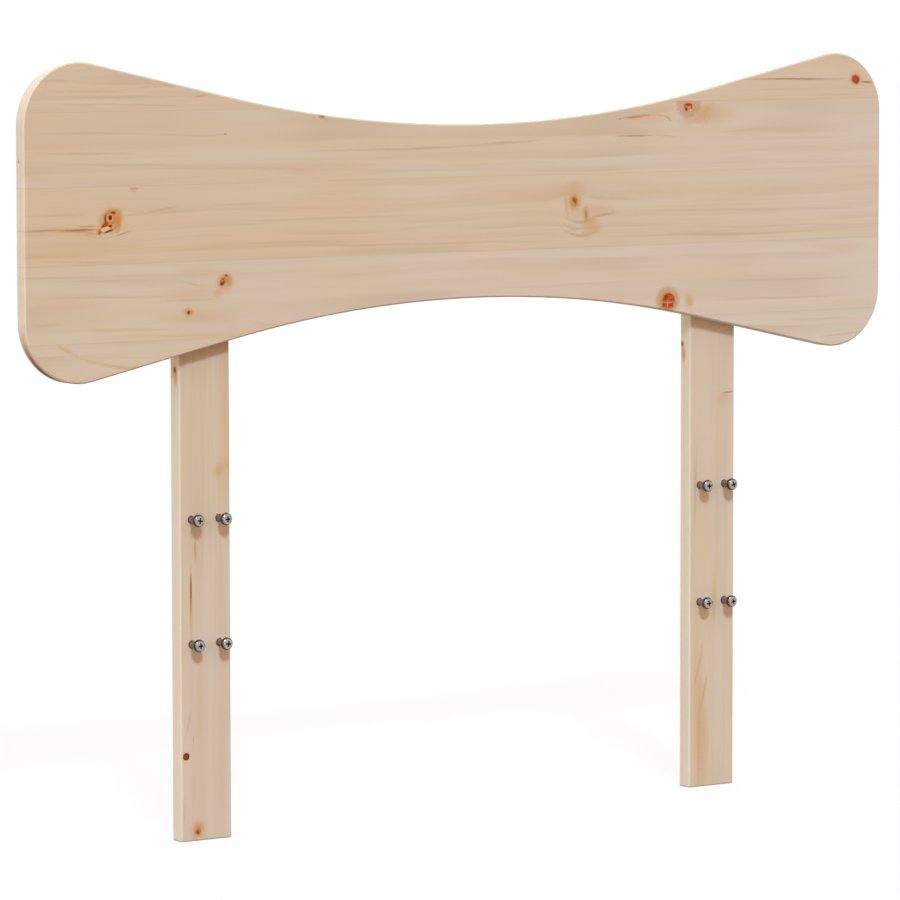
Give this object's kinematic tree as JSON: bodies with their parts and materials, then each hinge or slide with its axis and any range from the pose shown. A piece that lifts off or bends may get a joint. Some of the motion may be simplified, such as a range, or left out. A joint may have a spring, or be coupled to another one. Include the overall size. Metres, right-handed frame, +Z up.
{
  "type": "headboard",
  "caption": "Solid pine headboard: a waisted, round-cornered panel glued up from staves and screwed to flat legs, with bolts standing out of each leg to take a bed.",
  "frame": {"origin": "on the floor, midway between the legs, in the plane where the panel's back meets the legs' fronts", "axes": "+Z up, -Y out of the front of the panel, where the bolts point, +X to the right of someone facing the front"},
  "size_m": [1.08, 0.036, 0.7975],
  "materials": {
    "panel_pine": "satin lacquer",
    "leg_pine": "satin lacquer",
    "bolt_steel": "bright zinc plate",
    "nut_steel": "bright zinc plate",
    "screw_steel": "yellow zinc plate"
  },
  "bodies": {
    "headboard": {"bottom_left_stave": "panel_pine", "bottom_right_stave": "panel_pine", "lower_stave": "panel_pine", "middle_stave": "panel_pine", "upper_stave": "panel_pine", "top_left_stave": "panel_pine", "top_right_stave": "panel_pine", "left_leg": "leg_pine", "right_leg": "leg_pine", "left_nuts": "nut_steel", "right_nuts": "nut_steel", "left_wood_screws": "screw_steel", "right_wood_screws": "screw_steel"},
    "left_bolt_lower_outer": {"left_bolt_lower_outer": "bolt_steel"},
    "left_bolt_lower_inner": {"left_bolt_lower_inner": "bolt_steel"},
    "left_bolt_upper_outer": {"left_bolt_upper_outer": "bolt_steel"},
    "left_bolt_upper_inner": {"left_bolt_upper_inner": "bolt_steel"},
    "right_bolt_lower_outer": {"right_bolt_lower_outer": "bolt_steel"},
    "right_bolt_lower_inner": {"right_bolt_lower_inner": "bolt_steel"},
    "right_bolt_upper_outer": {"right_bolt_upper_outer": "bolt_steel"},
    "right_bolt_upper_inner": {"right_bolt_upper_inner": "bolt_steel"}
  },
  "joints": [
    {"name": "left_bolt_lower_outer_travel", "type": "slide", "parent": "headboard", "child": "left_bolt_lower_outer", "axis": [0, 1, 0], "range_m": [-0.006, 0.0127]},
    {"name": "left_bolt_lower_inner_travel", "type": "slide", "parent": "headboard", "child": "left_bolt_lower_inner", "axis": [0, 1, 0], "range_m": [-0.006, 0.0127]},
    {"name": "left_bolt_upper_outer_travel", "type": "slide", "parent": "headboard", "child": "left_bolt_upper_outer", "axis": [0, 1, 0], "range_m": [-0.006, 0.0127]},
    {"name": "left_bolt_upper_inner_travel", "type": "slide", "parent": "headboard", "child": "left_bolt_upper_inner", "axis": [0, 1, 0], "range_m": [-0.006, 0.0127]},
    {"name": "right_bolt_lower_outer_travel", "type": "slide", "parent": "headboard", "child": "right_bolt_lower_outer", "axis": [0, 1, 0], "range_m": [-0.006, 0.0127]},
    {"name": "right_bolt_lower_inner_travel", "type": "slide", "parent": "headboard", "child": "right_bolt_lower_inner", "axis": [0, 1, 0], "range_m": [-0.006, 0.0127]},
    {"name": "right_bolt_upper_outer_travel", "type": "slide", "parent": "headboard", "child": "right_bolt_upper_outer", "axis": [0, 1, 0], "range_m": [-0.006, 0.0127]},
    {"name": "right_bolt_upper_inner_travel", "type": "slide", "parent": "headboard", "child": "right_bolt_upper_inner", "axis": [0, 1, 0], "range_m": [-0.006, 0.0127]}
  ]
}
